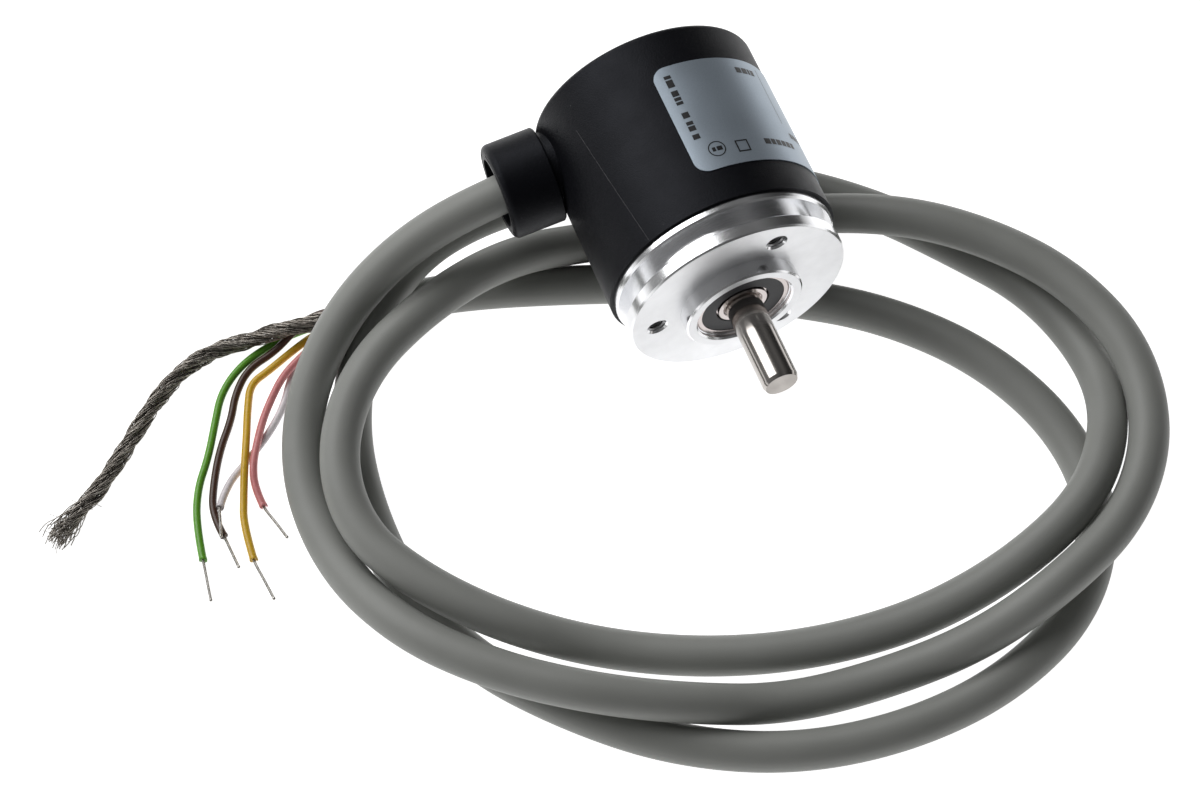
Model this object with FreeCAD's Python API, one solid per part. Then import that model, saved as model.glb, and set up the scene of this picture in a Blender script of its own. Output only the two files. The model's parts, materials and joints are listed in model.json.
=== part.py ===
import FreeCAD, Part
import math
import os
from FreeCAD import Vector

# Rotary encoder with synchro flange, radial cable outlet and a free, stripped cable. Millimetres.
# Frame: the shaft points along -Y, the cable outlet along -X, +Z is up. The origin is on the shaft axis, in
# the plane of the flange's mounting face, so every Y below is a depth behind that face.

os.makedirs("parts", exist_ok=True)

ORIGIN = Vector(0, 0, 0)
SHAFT_AXIS = Vector(0, 1, 0)
OUTLET_AXIS = Vector(1, 0, 0)

# --- driving dimensions ------------------------------------------------------------------------------
SHAFT_R = 3.0
SHAFT_FRONT_Y = -17.4
SHAFT_REAR_Y = 28.6
SHAFT_CHAMFER_DEPTH = 0.3
SHAFT_CHAMFER_LENGTH = 0.65
SHAFT_RELIEF_START_Y = -2.0
SHAFT_RELIEF_END_Y = -1.2
SHAFT_RELIEF_DEPTH = 0.2

FLANGE_R = 18.5
FLANGE_FACE_THICK = 2.3
FLANGE_EDGE_CHAMFER = 0.3
SYNCHRO_GROOVE_R = 16.0
SYNCHRO_GROOVE_WIDTH = 3.0
REAR_RING_R = 18.8
REAR_RING_WIDTH = 1.3
COLLAR_R = 10.0
COLLAR_LENGTH = 2.7
SPIGOT_R = 17.6
SPIGOT_END_Y = 12.0
HUB_R = 10.5
HUB_END_Y = 22.0
HOLE_PCD_R = 14.0
HOLE_R = 1.5
HOLE_MOUTH_R = 1.85
HOLE_DEPTH = 5.6
HOLE_ANGLES = (180, 60, -60)
O_RING_Y = 9.0
O_RING_R = 0.68
O_RING_GROOVE_DEPTH = 1.2
O_RING_GROOVE_WIDTH = 2.0

HOUSING_FRONT_Y = 6.7
HOUSING_END_Y = 40.2
HOUSING_FRONT_R = 19.4
HOUSING_REAR_R = 19.1
HOUSING_REAR_FILLET = 1.0
HOUSING_BORE_R = 17.8
HOUSING_END_WALL = 1.8
HOUSING_INNER_CHAMFER = 1.2
SNAP_Y = 10.9
SNAP_WIDTH = 0.7
SNAP_HEIGHT = 0.35

BEARING_OUTER_R = 8.0
BEARING_WIDTH = 5.0
FRONT_BEARING_Y = -1.8
REAR_BEARING_Y = 15.0
BEARING_SEAT_GAP = 0.01
OUTER_RING_INNER_R = 6.5
OUTER_RING_SEAL_R = 7.1
INNER_RING_OUTER_R = 4.6
INNER_RING_FACE_R = 4.15
SEAL_STEP = 0.75
SEAL_INSET = 0.12
SEAL_THICK = 0.43
CAGE_START = 1.7
CAGE_END = 4.1
CAGE_HALF_WALL = 0.4
BALL_PITCH_R = 5.55
BALL_R = 1.25
BALL_COUNT = 8
RACE_GAP = 0.05
SHAFT_FIT_R = SHAFT_R + BEARING_SEAT_GAP
SPACER_OUTER_R = BEARING_OUTER_R - 0.05
SPRING_THICK = 0.5
CIRCLIP_GROOVE_Y = REAR_BEARING_Y + BEARING_WIDTH + 0.3
CIRCLIP_GROOVE_DEPTH = 0.5
CIRCLIP_GROOVE_WIDTH = 1.0
CIRCLIP_THICK = 0.9

OUTLET_Y = 33.2
OUTLET_BORE_R = 4.4
BOSS_R = 6.9
BOSS_START_X = -15.8
BOSS_FACE_X = -19.35
SLEEVE_R = 8.05
SLEEVE_MOUTH_X = -28.3
SLEEVE_MOUTH_FILLET = 1.1
SLEEVE_REAR_CHAMFER = 0.25
SLEEVE_PLUG_R = 5.6
SLEEVE_PLUG_X = -18.5
SLEEVE_NECK_R = 3.6
SLEEVE_BORE_R = 5.8
SLEEVE_BORE_DEPTH = 5.2
# A narrow ring-shaped slit in the mouth, broken by ribs, keeps the moulded wall thin.
SLIT_INNER_R = 6.75
SLIT_OUTER_R = 7.1
SLIT_DEPTH = 1.6
SLIT_STARTS_DEG = (-36, 54, 144, 234)
SLIT_SWEEP_DEG = 58
# The sealant's free face slopes from one side of the bore to the other.
SEALANT_LOW_X = -24.2
SEALANT_HIGH_X = -28.0
SEALANT_MOUTH_GAP = 0.3
FERRULE_X = -12.6
FERRULE_R = 3.9
FERRULE_LENGTH = 4.2

CABLE_R = 3.3
CORE_R = 0.65
BRAID_R = 1.55
CONDUCTOR_R = 0.26

DISC_R = 14.2
DISC_Y = 26.0
DISC_THICK = 0.9
HUB_START_Y = REAR_BEARING_Y + BEARING_WIDTH + 0.05
HUB_SLEEVE_R = 5.0
HUB_FLANGE_R = 6.5
HUB_FLANGE_THICK = 1.4
SET_SCREW_Y = 23.4
SET_SCREW_R = 0.9
SET_SCREW_SOCKET = 0.9
NOTCH_R = 0.5
CLAMP_RING_THICK = 0.8
LAMP_SCREW_X = (-5.2, 5.2)
LAMP_SCREW_Z = 13.4
LAMP_SCREW_R = 0.78
LAMP_Z = 12.4
LAMP_R = 1.6
LAMP_BODY_LENGTH = 4.2
LAMP_HOLDER_END_Y = 25.3
LAMP_HOLDER_TOP_Z = 15.2
LAMP_HOLDER_HALF_WIDTH = 3.6
LAMP_FOOT_HALF_WIDTH = 7.0
LAMP_FOOT_THICK = 2.0
RETICLE_GAP = 0.4
RETICLE_THICK = 0.5

BOARD_R = 17.3
BOARD_Y = 29.4
BOARD_THICK = 1.6
STANDOFF_PCD_R = 16.3
STANDOFF_R = 1.2
STANDOFF_ANGLES = (30, 150, 270)
STANDOFF_STUD_R = 0.68
# The board's screws sit a little nearer the axis than the middle of each standoff.
BOARD_SCREW_PCD_R = STANDOFF_PCD_R - 0.2
BOARD_SCREW_R = 0.48
BOARD_CENTRE_HOLE_R = 4.2
BOARD_CUTOUT_X = -9.5
BOARD_CUTOUT_HALF_WIDTH = 6.2
SMALL_PART_SIZE = (1.2, 0.7, 2.0)
SMALL_PART_CORNERS = ((6.0, 8.2), (9.2, 8.2), (12.6, 1.5), (12.6, -2.5), (6.8, -9.0), (9.6, -9.0))

LEAD_COUNT = 5
LEAD_R = 0.42
LEAD_PITCH = 1.9
HEADER_START_X = -8.6
HEADER_END_X = 1.6
HEADER_FRONT_Z = 6.6
HEADER_REAR_Z = 10.2
HEADER_HEIGHT = 3.2
HEADER_SLOT_WIDTH = 1.3

LABEL_THICK = 0.15
LABEL_FRONT_Y = 12.3
LABEL_REAR_Y = 32.9
# The label starts this far before the top of the housing, and turns this far towards +X.
LABEL_START_DEG = -2.0
LABEL_SWEEP_DEG = 94.0
LABEL_CORNER_R = 2.4

# --- the cable's route: from inside the outlet, through three loose turns, to the stripped end -------
# The cable lies at TABLE_AXIS where it touches the surface, and rises in low humps where it crosses itself.
TABLE_AXIS = -23.7
TABLE_Z = TABLE_AXIS - CABLE_R

CABLE_ROUTE = [
    # out of the outlet and down, outside the other turns
    (-12.5, 33.2, 0), (-27, 33.2, 0), (-43, 34, -5.2), (-57, 30.8, -12.4), (-68.4, 22.4, -19.6),
    (-74.8, 8.5, -22.8), (-74.6, -8.8, -21.4), (-69, -25, -16.8), (-58.8, -37.5, -15.6),
    (-46.7, -47.2, -15.4), (-33.2, -53.9, -18.3), (-18, -58.4, TABLE_AXIS), (-1, -60.8, TABLE_AXIS),
    (14.5, -62.5, -19.4),
    (29.5, -60.1, -15.6), (44.2, -53.3, -16.8), (54.1, -41.5, -16.6), (57.4, -25.8, -17), (53.4, -11, -16.8),
    (45, 0.8, -16.4), (33.7, 10.4, -15.6), (19.6, 19.4, -19.2),
    # first pass under the housing, then the second turn
    (3.5, 26, TABLE_AXIS), (-12.8, 29.8, -21.7), (-29, 30.2, -15.4), (-45, 26.2, -13.4),
    (-59.3, 19.2, -13.4), (-68.3, 7.5, -14.9), (-69.8, -6.4, -15.8), (-63.7, -18.7, -16), (-53.8, -29.7, -18.2),
    (-40.8, -37.8, TABLE_AXIS), (-25.7, -46.2, TABLE_AXIS), (-9.5, -51.6, TABLE_AXIS), (8, -54.2, -22.4),
    (24.6, -54, -16.8), (39.9, -48.2, -15.4), (49.6, -35.6, -18.6), (52.2, -21, TABLE_AXIS),
    (48.6, -6.6, TABLE_AXIS), (40, 6, TABLE_AXIS), (31, 18, TABLE_AXIS), (18, 29.5, TABLE_AXIS),
    # second pass under the housing, then the third and lowest turn
    (2.5, 36.5, TABLE_AXIS), (-13, 41.5, TABLE_AXIS), (-29, 41.5, -19.4), (-44, 36.4, -15),
    (-55.8, 28.2, -19.2), (-63.5, 16.5, TABLE_AXIS), (-66.5, 1, TABLE_AXIS), (-66, -16, TABLE_AXIS),
    (-60, -32, TABLE_AXIS), (-49.3, -45.8, TABLE_AXIS), (-36.8, -57.6, TABLE_AXIS),
    (-20.8, -66.5, TABLE_AXIS),
    (-3, -70.4, TABLE_AXIS), (15.2, -69.5, TABLE_AXIS), (32, -62.5, TABLE_AXIS), (41.8, -48.5, TABLE_AXIS),
    (42.8, -32, TABLE_AXIS), (36.3, -15, TABLE_AXIS), (24.3, -0.6, TABLE_AXIS), (9.4, 9.8, TABLE_AXIS),
    # third pass under the housing, to the stripped end
    (-5, 18.6, TABLE_AXIS), (-21.5, 25.6, TABLE_AXIS), (-36.7, 31.3, TABLE_AXIS), (-49.4, 34.3, TABLE_AXIS),
    (-57.8, 35, TABLE_AXIS),
]

CORE_LOW = TABLE_Z + 0.67
CORE_HIGH = TABLE_Z + 2.1
BRAID_LOW = TABLE_Z + 1.6
# The white core's end rests on the brown core.
WHITE_END = TABLE_Z + 1.3

# Each core leaves the cable's cut end and ends where its insulation ends.
CORE_ROUTES = {
    "green": [
        (-57.73, 35.9, -25.5), (-62, 36.9, CORE_LOW), (-68.6, 36.9, CORE_LOW), (-75.6, 35.2, CORE_LOW),
        (-80.6, 31.6, CORE_LOW), (-83.6, 26.5, CORE_LOW), (-86.7, 21.2, CORE_LOW), (-90.3, 16.5, CORE_LOW),
        (-92.7, 10.5, CORE_LOW), (-93.8, 4.2, CORE_LOW),
    ],
    "brown": [
        (-57.66, 36.9, -23.9), (-61.2, 37.9, -24.3), (-65.2, 36.7, -24.6), (-69.8, 34.9, -26),
        (-75, 33.9, CORE_LOW), (-78.6, 30.3, CORE_LOW), (-80.8, 26.2, CORE_LOW), (-84.4, 21.8, CORE_LOW),
        (-87.5, 16.4, CORE_LOW), (-89.7, 11.2, CORE_LOW), (-89.2, 6.8, CORE_LOW),
    ],
    "white": [
        (-57.9, 33.85, -25.5), (-61.8, 33.7, CORE_LOW), (-65.9, 32.2, CORE_LOW), (-69, 29.6, CORE_LOW),
        (-71.9, 25, CORE_LOW), (-76, 21.2, CORE_LOW), (-81, 18, CORE_LOW), (-85.7, 15.2, CORE_LOW),
        (-88, 11.7, WHITE_END),
    ],
    "yellow": [
        (-57.8, 34.8, -24.4), (-62.3, 35.1, -25.6), (-67.2, 33.9, -26.2), (-71.9, 32.2, CORE_LOW),
        (-75.6, 31.1, CORE_LOW), (-77.6, 26.9, -26), (-79.6, 21.6, CORE_HIGH), (-81.8, 16.6, CORE_HIGH),
        (-83.8, 12, -26), (-85.6, 7.4, CORE_LOW), (-86.2, 0.9, CORE_LOW),
    ],
    "pink": [
        (-58, 32.9, -23.9), (-61.6, 33.2, -24.4), (-65.7, 31.9, CORE_HIGH), (-70.2, 29.6, CORE_HIGH),
        (-73.6, 26.6, -25.7), (-76.2, 23.4, -25.4), (-78.4, 19.8, CORE_HIGH), (-80.4, 16.4, CORE_HIGH),
        (-81.6, 12.8, -26), (-81.4, 9.3, CORE_LOW),
    ],
}

# The bare strands of each core: from the end of its insulation to this tip.
CONDUCTOR_TIPS = {
    "green": (-95.1, -3.1, CORE_LOW),
    "brown": (-88.9, 0.6, CORE_LOW),
    "white": (-89.7, 6.4, WHITE_END + 0.6),
    "yellow": (-85.6, -7, CORE_LOW),
    "pink": (-79.8, 2.4, CORE_LOW),
}

BRAID_ROUTE = [
    (-57.84, 34.8, -22.15), (-62.4, 35.2, -22.15), (-67.4, 36.6, -22.7), (-72.6, 38, -24.9),
    (-78.5, 39, BRAID_LOW), (-84.5, 37.9, BRAID_LOW), (-89.5, 35.2, BRAID_LOW), (-94.5, 31.4, BRAID_LOW),
    (-99.5, 27.1, BRAID_LOW), (-105, 22.7, BRAID_LOW), (-110, 20.1, BRAID_LOW), (-114.5, 17, BRAID_LOW),
]


# --- helpers -----------------------------------------------------------------------------------------
def export(name, shape):
    """Write one named piece to its own STEP file."""
    shape.exportStep("parts/" + name + ".step")
    extent = shape.BoundBox
    size = "%.2f x %.2f x %.2f" % (extent.XLength, extent.YLength, extent.ZLength)
    print("%-26s solids %d valid %s size %s" % (name, len(shape.Solids), shape.isValid(), size))


def turned(outline):
    """Turn a closed outline of (radius, y) points about the shaft axis."""
    points = [Vector(radius, y, 0) for radius, y in outline]
    face = Part.Face(Part.makePolygon(points + points[:1]))
    return face.revolve(ORIGIN, SHAFT_AXIS, 360)


def ring(inner_r, outer_r, start_y, end_y):
    """A plain ring about the shaft axis."""
    return turned([(inner_r, start_y), (outer_r, start_y), (outer_r, end_y), (inner_r, end_y)])


def rod(radius, start, direction, length):
    return Part.makeCylinder(radius, length, Vector(*start), Vector(*direction))


def box(low, high):
    corner = Vector(*low)
    size = Vector(*high) - corner
    return Part.makeBox(size.x, size.y, size.z, corner)


def around(radius, degrees, y):
    """A point at this radius from the shaft axis, turned from +X towards +Z."""
    angle = math.radians(degrees)
    return Vector(radius * math.cos(angle), y, radius * math.sin(angle))


def rounded_path(points):
    """Straight runs joined by tangent arcs, as large as the shorter run allows."""
    corners = [Vector(*point) for point in points]
    edges = []
    length = 0.0
    radii = []
    here = corners[0]
    for before, corner, after in zip(corners, corners[1:], corners[2:]):
        back = before - corner
        ahead = after - corner
        reach = 0.45 * min(back.Length, ahead.Length)
        back.normalize()
        ahead.normalize()
        turn = math.pi - back.getAngle(ahead)
        radius = reach / math.tan(turn / 2)
        arc_start = corner + back * reach
        arc_end = corner + ahead * reach
        inward = (back + ahead).normalize()
        middle = corner + inward * (radius / math.cos(turn / 2) - radius)
        edges.append(Part.LineSegment(here, arc_start).toShape())
        edges.append(Part.Arc(arc_start, middle, arc_end).toShape())
        length += (arc_start - here).Length + radius * turn
        radii.append(radius)
        here = arc_end
    edges.append(Part.LineSegment(here, corners[-1]).toShape())
    length += (corners[-1] - here).Length
    return Part.Wire(edges), length, radii


def tube(name, points, radius):
    """A round solid along a rounded path; prints its bend radii and compares its volume."""
    path, length, radii = rounded_path(points)
    direction = Vector(*points[1]) - Vector(*points[0])
    section = Part.Wire(Part.makeCircle(radius, Vector(*points[0]), direction))
    solid = path.makePipeShell([section], True, False)
    expected = math.pi * radius ** 2 * length
    print("%s: length %.1f, volume ratio %.4f" % (name, length, solid.Volume / expected))
    print("  bend radii " + " ".join("%.0f" % value for value in radii))
    return solid


# --- housing, flange and shaft -----------------------------------------------------------------------
def housing():
    """Moulded cup with a slight draft, a rounded rear rim and a short round boss for the outlet."""
    cup = turned([
        (0, HOUSING_FRONT_Y), (HOUSING_FRONT_R, HOUSING_FRONT_Y),
        (HOUSING_REAR_R, HOUSING_END_Y), (0, HOUSING_END_Y),
    ])
    rear_rim = [edge for edge in cup.Edges if abs(edge.BoundBox.YMin - HOUSING_END_Y) < 0.01]
    cup = cup.makeFillet(HOUSING_REAR_FILLET, [edge for edge in rear_rim if edge.Length > 50])
    boss = rod(BOSS_R, (BOSS_START_X, OUTLET_Y, 0), (-1, 0, 0), BOSS_START_X - BOSS_FACE_X)
    body = cup.fuse(boss)
    inner_end_y = HOUSING_END_Y - HOUSING_END_WALL
    cavity = turned([
        (0, HOUSING_FRONT_Y - 1), (HOUSING_BORE_R, HOUSING_FRONT_Y - 1), (HOUSING_BORE_R, SNAP_Y),
        (HOUSING_BORE_R - SNAP_HEIGHT, SNAP_Y + SNAP_WIDTH / 2), (HOUSING_BORE_R, SNAP_Y + SNAP_WIDTH),
        (HOUSING_BORE_R, inner_end_y - HOUSING_INNER_CHAMFER),
        (HOUSING_BORE_R - HOUSING_INNER_CHAMFER, inner_end_y), (0, inner_end_y),
    ])
    body = body.cut(cavity)
    # The outlet sleeve plugs into a counterbore in the boss, in front of the smaller cable hole.
    body = body.cut(rod(OUTLET_BORE_R, (-10, OUTLET_Y, 0), (-1, 0, 0), 15))
    body = body.cut(rod(SLEEVE_PLUG_R + 0.02, (SLEEVE_PLUG_X, OUTLET_Y, 0), (-1, 0, 0), 5))
    return body.removeSplitter()


def flange():
    """Aluminium flange: collar, mounting face, synchro groove, rear ring, spigot and bearing hub."""
    groove_end = FLANGE_FACE_THICK + SYNCHRO_GROOVE_WIDTH
    ring_end = groove_end + REAR_RING_WIDTH
    chamfer = FLANGE_EDGE_CHAMFER
    o_ring_groove_r = SPIGOT_R - O_RING_GROOVE_DEPTH
    o_ring_start = O_RING_Y - O_RING_GROOVE_WIDTH / 2
    o_ring_end = O_RING_Y + O_RING_GROOVE_WIDTH / 2
    body = turned([
        (0, -COLLAR_LENGTH), (COLLAR_R - chamfer, -COLLAR_LENGTH), (COLLAR_R, -COLLAR_LENGTH + chamfer),
        (COLLAR_R, 0), (FLANGE_R - chamfer, 0), (FLANGE_R, chamfer),
        (FLANGE_R, FLANGE_FACE_THICK - chamfer), (FLANGE_R - chamfer, FLANGE_FACE_THICK),
        (SYNCHRO_GROOVE_R, FLANGE_FACE_THICK), (SYNCHRO_GROOVE_R, groove_end),
        (REAR_RING_R - chamfer, groove_end), (REAR_RING_R, groove_end + chamfer), (REAR_RING_R, ring_end),
        (SPIGOT_R, ring_end), (SPIGOT_R, o_ring_start), (o_ring_groove_r, o_ring_start),
        (o_ring_groove_r, o_ring_end), (SPIGOT_R, o_ring_end),
        (SPIGOT_R, SNAP_Y - 0.1), (SPIGOT_R - 0.5, SNAP_Y + SNAP_WIDTH / 2),
        (SPIGOT_R, SNAP_Y + SNAP_WIDTH + 0.1), (SPIGOT_R, SPIGOT_END_Y),
        (HUB_R, SPIGOT_END_Y), (HUB_R, HUB_END_Y), (0, HUB_END_Y),
    ])
    mouth_r = BEARING_OUTER_R + 0.1
    circlip_end = CIRCLIP_GROOVE_Y + CIRCLIP_GROOVE_WIDTH
    circlip_r = BEARING_OUTER_R + CIRCLIP_GROOVE_DEPTH
    bore = turned([
        (0, -COLLAR_LENGTH - 1), (mouth_r + chamfer, -COLLAR_LENGTH - 1),
        (mouth_r + chamfer, -COLLAR_LENGTH),
        (mouth_r, -COLLAR_LENGTH + chamfer), (mouth_r, FRONT_BEARING_Y), (BEARING_OUTER_R, FRONT_BEARING_Y),
        (BEARING_OUTER_R, CIRCLIP_GROOVE_Y), (circlip_r, CIRCLIP_GROOVE_Y), (circlip_r, circlip_end),
        (BEARING_OUTER_R, circlip_end), (BEARING_OUTER_R, HUB_END_Y + 1), (0, HUB_END_Y + 1),
    ])
    body = body.cut(bore)
    mouth_depth = HOLE_MOUTH_R - HOLE_R
    for degrees in HOLE_ANGLES:
        start = around(HOLE_PCD_R, degrees, 0)
        body = body.cut(Part.makeCylinder(HOLE_R, HOLE_DEPTH, start, SHAFT_AXIS))
        body = body.cut(Part.makeCone(HOLE_MOUTH_R, HOLE_R, mouth_depth, start, SHAFT_AXIS))
    for screw_x in LAMP_SCREW_X:
        body = body.cut(rod(LAMP_SCREW_R + 0.02, (screw_x, SPIGOT_END_Y - 4, LAMP_SCREW_Z), (0, 1, 0), 5))
    for degrees in STANDOFF_ANGLES:
        start = around(STANDOFF_PCD_R, degrees, SPIGOT_END_Y - 1.5)
        body = body.cut(Part.makeCylinder(STANDOFF_STUD_R + 0.02, 2, start, SHAFT_AXIS))
    return body


def shaft():
    """Ground bar with chamfered ends and a narrow relief groove where it enters the front bearing."""
    flat = SHAFT_R - SHAFT_CHAMFER_DEPTH
    relief_r = SHAFT_R - SHAFT_RELIEF_DEPTH
    return turned([
        (0, SHAFT_FRONT_Y), (flat, SHAFT_FRONT_Y), (SHAFT_R, SHAFT_FRONT_Y + SHAFT_CHAMFER_LENGTH),
        (SHAFT_R, SHAFT_RELIEF_START_Y), (relief_r, SHAFT_RELIEF_START_Y + SHAFT_RELIEF_DEPTH),
        (relief_r, SHAFT_RELIEF_END_Y - SHAFT_RELIEF_DEPTH), (SHAFT_R, SHAFT_RELIEF_END_Y),
        (SHAFT_R, SHAFT_REAR_Y - SHAFT_CHAMFER_LENGTH), (flat, SHAFT_REAR_Y), (0, SHAFT_REAR_Y),
    ])


# --- bearings ----------------------------------------------------------------------------------------
def race_groove(start_y):
    """The ring-shaped room that the balls run in, a little larger than the balls."""
    profile = Part.makeCircle(BALL_R + RACE_GAP, Vector(BALL_PITCH_R, start_y + BEARING_WIDTH / 2, 0))
    return Part.Face(Part.Wire(profile)).revolve(ORIGIN, SHAFT_AXIS, 360)


def bearing_outer_ring(start_y):
    end_y = start_y + BEARING_WIDTH
    outer_r = BEARING_OUTER_R - BEARING_SEAT_GAP
    edge = 0.25
    body = turned([
        (OUTER_RING_SEAL_R, start_y), (outer_r - edge, start_y), (outer_r, start_y + edge),
        (outer_r, end_y - edge), (outer_r - edge, end_y), (OUTER_RING_SEAL_R, end_y),
        (OUTER_RING_SEAL_R, end_y - SEAL_STEP), (OUTER_RING_INNER_R, end_y - SEAL_STEP),
        (OUTER_RING_INNER_R, start_y + SEAL_STEP), (OUTER_RING_SEAL_R, start_y + SEAL_STEP),
    ])
    return body.cut(race_groove(start_y))


def bearing_inner_ring(start_y):
    """The inner ring steps down at both faces, which leaves room for a seal's lip."""
    end_y = start_y + BEARING_WIDTH
    bore_r = SHAFT_FIT_R
    edge = 0.4
    body = turned([
        (bore_r, start_y + edge), (bore_r + edge, start_y), (INNER_RING_FACE_R, start_y),
        (INNER_RING_FACE_R, start_y + SEAL_STEP), (INNER_RING_OUTER_R, start_y + SEAL_STEP),
        (INNER_RING_OUTER_R, end_y - SEAL_STEP), (INNER_RING_FACE_R, end_y - SEAL_STEP),
        (INNER_RING_FACE_R, end_y), (bore_r + edge, end_y), (bore_r, end_y - edge),
    ])
    return body.cut(race_groove(start_y))


def ball_centres(start_y):
    step = 360.0 / BALL_COUNT
    middle_y = start_y + BEARING_WIDTH / 2
    return [around(BALL_PITCH_R, step * (index + 0.5), middle_y) for index in range(BALL_COUNT)]


def bearing_balls(start_y):
    return Part.makeCompound([Part.makeSphere(BALL_R, centre) for centre in ball_centres(start_y)])


def bearing_cage(start_y):
    """A crown cage: a ring behind the balls with pockets round them."""
    inner_r = BALL_PITCH_R - CAGE_HALF_WALL
    outer_r = BALL_PITCH_R + CAGE_HALF_WALL
    body = ring(inner_r, outer_r, start_y + CAGE_START, start_y + CAGE_END)
    for centre in ball_centres(start_y):
        body = body.cut(Part.makeSphere(BALL_R + RACE_GAP + 0.01, centre))
    return body


def bearing_seal(face_y, inward):
    """A thin rubber disc just inside the bearing's face; inward is +1 or -1 along Y."""
    outside_y = face_y + SEAL_INSET * inward
    inside_y = outside_y + SEAL_THICK * inward
    low = min(outside_y, inside_y)
    high = max(outside_y, inside_y)
    return ring(INNER_RING_OUTER_R - 0.02, OUTER_RING_SEAL_R - 0.02, low, high)


def split_ring(inner_r, outer_r, start_y, end_y, gap):
    """A ring with a slot across its -Z side."""
    body = ring(inner_r, outer_r, start_y, end_y)
    slot = box((-gap / 2, start_y - 1, -outer_r - 1), (gap / 2, end_y + 1, -inner_r + 1))
    return body.cut(slot)


def spacers_and_springs():
    """What lies between and behind the two bearings."""
    inner_r = SPACER_OUTER_R - 0.95
    front_bearing_end = FRONT_BEARING_Y + BEARING_WIDTH
    spring_end = REAR_BEARING_Y - 0.05
    spring_start = spring_end - SPRING_THICK
    export("outer_spacer", ring(inner_r, SPACER_OUTER_R, front_bearing_end, spring_start - 0.05))
    export("preload_spring", split_ring(inner_r, SPACER_OUTER_R, spring_start, spring_end, 0.8))
    export("inner_spacer", ring(SHAFT_FIT_R, INNER_RING_FACE_R + 0.05, front_bearing_end, REAR_BEARING_Y))
    clip_r = BEARING_OUTER_R + CIRCLIP_GROOVE_DEPTH - 0.05
    clip_start = CIRCLIP_GROOVE_Y + 0.05
    export("bearing_circlip", split_ring(clip_r - 1.15, clip_r, clip_start, clip_start + CIRCLIP_THICK, 3.0))


def housing_o_ring():
    path_r = SPIGOT_R - O_RING_GROOVE_DEPTH + O_RING_R + 0.01
    return Part.makeTorus(path_r, O_RING_R, Vector(0, O_RING_Y, 0), SHAFT_AXIS)


# --- code disc and optics ----------------------------------------------------------------------------
def code_hub():
    flange_start_y = DISC_Y - HUB_FLANGE_THICK
    body = turned([
        (SHAFT_FIT_R, HUB_START_Y), (HUB_SLEEVE_R, HUB_START_Y), (HUB_SLEEVE_R, flange_start_y),
        (HUB_FLANGE_R, flange_start_y), (HUB_FLANGE_R, DISC_Y), (SHAFT_FIT_R, DISC_Y),
    ])
    return body.cut(rod(SET_SCREW_R + 0.02, (0, SET_SCREW_Y, SHAFT_R), (0, 0, 1), 4))


def hub_set_screw():
    length = HUB_SLEEVE_R - SHAFT_FIT_R - 0.1
    body = rod(SET_SCREW_R, (0, SET_SCREW_Y, SHAFT_FIT_R), (0, 0, 1), length)
    half = SET_SCREW_SOCKET / 2
    socket_z = SHAFT_FIT_R + length - 0.8
    socket = box((-half, SET_SCREW_Y - half, socket_z), (half, SET_SCREW_Y + half, HUB_SLEEVE_R + 0.1))
    return body.cut(socket)


def code_disc():
    """Glass disc with four alignment notches at its inner edge; the fine lines are only a print."""
    body = ring(SHAFT_R + 0.4, DISC_R, DISC_Y, DISC_Y + DISC_THICK)
    for degrees in (0, 90, 180, 270):
        start = around(HUB_FLANGE_R + 1.2, degrees, DISC_Y - 1)
        body = body.cut(Part.makeCylinder(NOTCH_R, 3, start, SHAFT_AXIS))
    return body


def disc_clamp_ring():
    start_y = DISC_Y + DISC_THICK
    return ring(SHAFT_FIT_R, HUB_FLANGE_R - 0.5, start_y, start_y + CLAMP_RING_THICK)


def lamp_holder():
    """A moulded block on the flange's inner step, with a foot each side for its screws."""
    half = LAMP_HOLDER_HALF_WIDTH
    foot_half = LAMP_FOOT_HALF_WIDTH
    foot_end_y = SPIGOT_END_Y + LAMP_FOOT_THICK
    tower = box((-half, SPIGOT_END_Y, HUB_R + 0.2), (half, LAMP_HOLDER_END_Y, LAMP_HOLDER_TOP_Z))
    foot = box((-foot_half, SPIGOT_END_Y, HUB_R + 1.2), (foot_half, foot_end_y, LAMP_HOLDER_TOP_Z))
    body = tower.fuse(foot)
    body = body.cut(rod(LAMP_R + 0.02, (0, LAMP_HOLDER_END_Y - 6, LAMP_Z), (0, 1, 0), 8))
    for screw_x in LAMP_SCREW_X:
        body = body.cut(rod(LAMP_SCREW_R + 0.07, (screw_x, SPIGOT_END_Y - 1, LAMP_SCREW_Z), (0, 1, 0), 5))
    return body


def lamp():
    """A round light source with a domed front, facing the code disc."""
    start_y = LAMP_HOLDER_END_Y - 5.9
    body = rod(LAMP_R, (0, start_y, LAMP_Z), (0, 1, 0), LAMP_BODY_LENGTH)
    dome = Part.makeSphere(LAMP_R - 0.1, Vector(0, start_y + LAMP_BODY_LENGTH, LAMP_Z))
    return body.fuse(dome)


def screw(head_r, head_length, shank_r, shank_length, seat, slot_width):
    """A pan-head screw that points along -Y, with its seat at this point and a slot in its head."""
    shank = rod(shank_r, seat, (0, -1, 0), shank_length)
    head = rod(head_r, seat, (0, 1, 0), head_length)
    low = (seat[0] - head_r, seat[1] + head_length * 0.55, seat[2] - slot_width / 2)
    high = (seat[0] + head_r, seat[1] + head_length + 1, seat[2] + slot_width / 2)
    return shank.fuse(head).cut(box(low, high))


def lamp_screws():
    seats = [(screw_x, SPIGOT_END_Y + LAMP_FOOT_THICK, LAMP_SCREW_Z) for screw_x in LAMP_SCREW_X]
    return Part.makeCompound([screw(1.4, 1.0, LAMP_SCREW_R, 5.5, seat, 0.4) for seat in seats])


def scanning_reticle():
    start_y = DISC_Y + DISC_THICK + RETICLE_GAP
    return box((-3.2, start_y, 10.4), (3.2, start_y + RETICLE_THICK, 14.6))


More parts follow.
